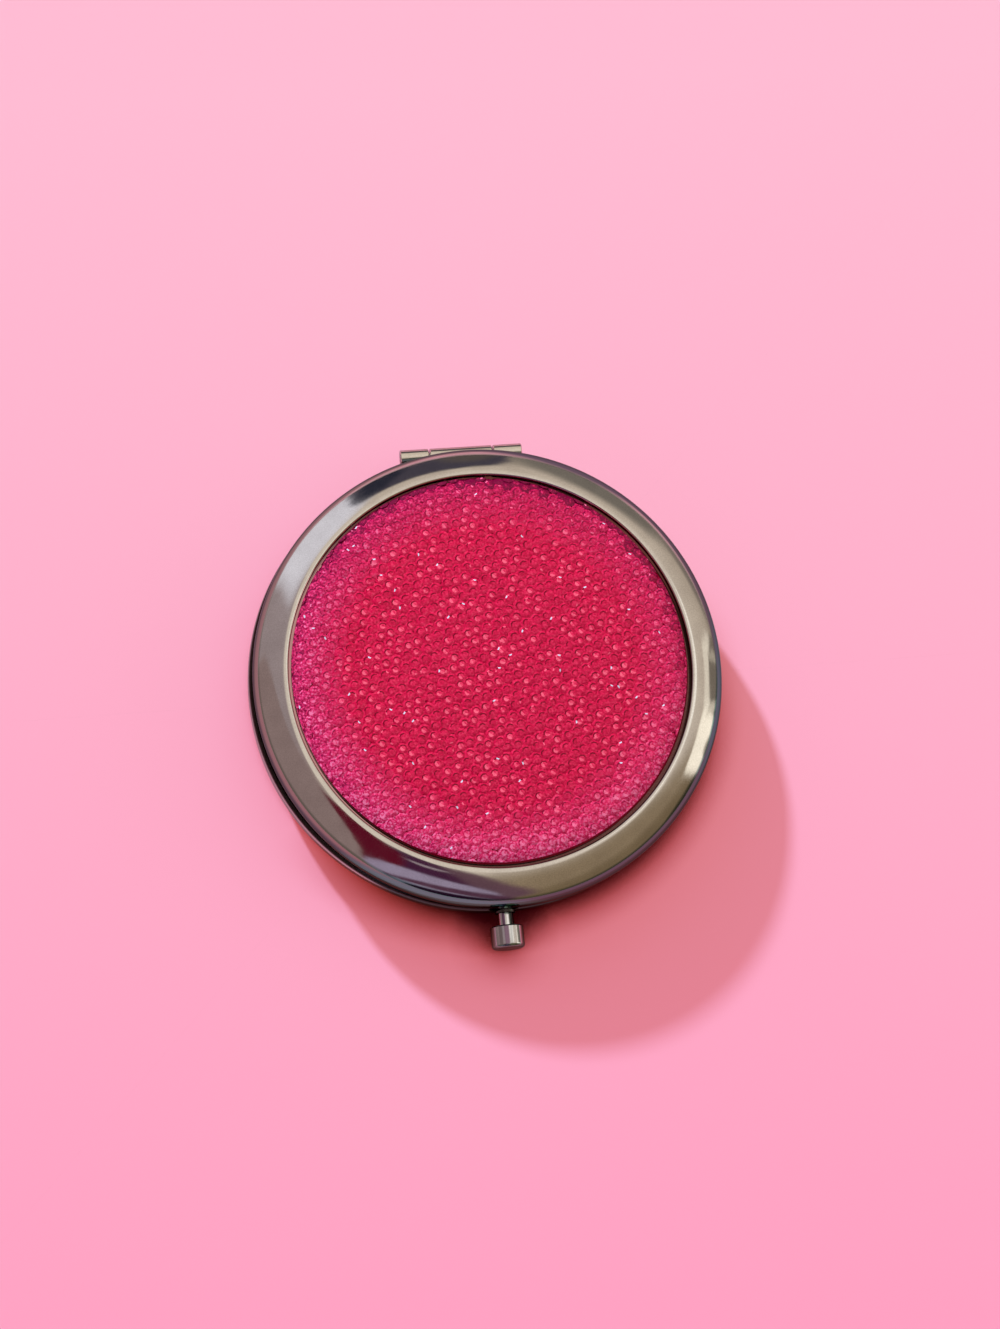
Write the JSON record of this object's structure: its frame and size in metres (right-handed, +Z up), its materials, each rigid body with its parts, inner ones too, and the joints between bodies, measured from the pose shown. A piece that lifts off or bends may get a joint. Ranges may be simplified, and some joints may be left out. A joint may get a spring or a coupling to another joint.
{
  "type": "compact mirror",
  "caption": "Round hinged pocket compact with a crystal-covered lid, facing mirrors inside, a barrel hinge and a sprung push-button latch.",
  "frame": {"origin": "centre of the ring-shaped lip under the base, on the surface that the closed compact lies on", "axes": "+Z up through the lid, +Y from the push button to the hinge, +X along the hinge pin"},
  "size_m": [0.0706, 0.0769, 0.0139],
  "materials": {
    "case_metal": "polished warm nickel plate",
    "hinge_metal": "polished plate",
    "button_metal": "polished, turned",
    "pin_steel": "bright steel",
    "spring_steel": "spring steel",
    "mirror_glass": "silvered glass",
    "tray_plastic": "metallised moulding",
    "foam": "closed-cell foam",
    "tape": "double-sided film",
    "crystal_resin": "cast resin",
    "rhinestone": "faceted resin stones"
  },
  "bodies": {
    "base": {"base_shell": "case_metal", "base_hinge_leaf": "hinge_metal", "hinge_pin": "pin_steel", "base_tray": "tray_plastic", "base_tray_pad": "foam", "base_mirror_tape": "tape", "base_magnifying_mirror": "mirror_glass", "stem_bush": "button_metal", "push_spring": "spring_steel", "latch_bracket": "pin_steel", "latch_bracket_rivets": "pin_steel"},
    "lid": {"lid_shell": "case_metal", "lid_hinge_leaf": "hinge_metal", "lid_tray": "tray_plastic", "lid_tray_pad": "foam", "lid_mirror_tape": "tape", "lid_mirror": "mirror_glass", "crystal_film": "tape", "crystal_base": "crystal_resin", "rhinestone_layer": "rhinestone", "catch_tongue": "spring_steel", "catch_tongue_rivets": "pin_steel"},
    "button": {"push_stem": "button_metal", "push_knob": "button_metal"}
  },
  "joints": [
    {"name": "lid_hinge", "type": "hinge", "parent": "base", "child": "lid", "pos_m": [0, 0.03525, 0.0063], "axis": [-1, 0, 0], "range_deg": [0, 175], "deforming": ["catch_tongue"]},
    {"name": "button_press", "type": "slide", "parent": "base", "child": "button", "axis": [0, 1, 0], "range_m": [0, 0.001], "stiffness_N_per_m": 800, "springref_m": -0.001, "deforming": ["push_spring"]}
  ]
}
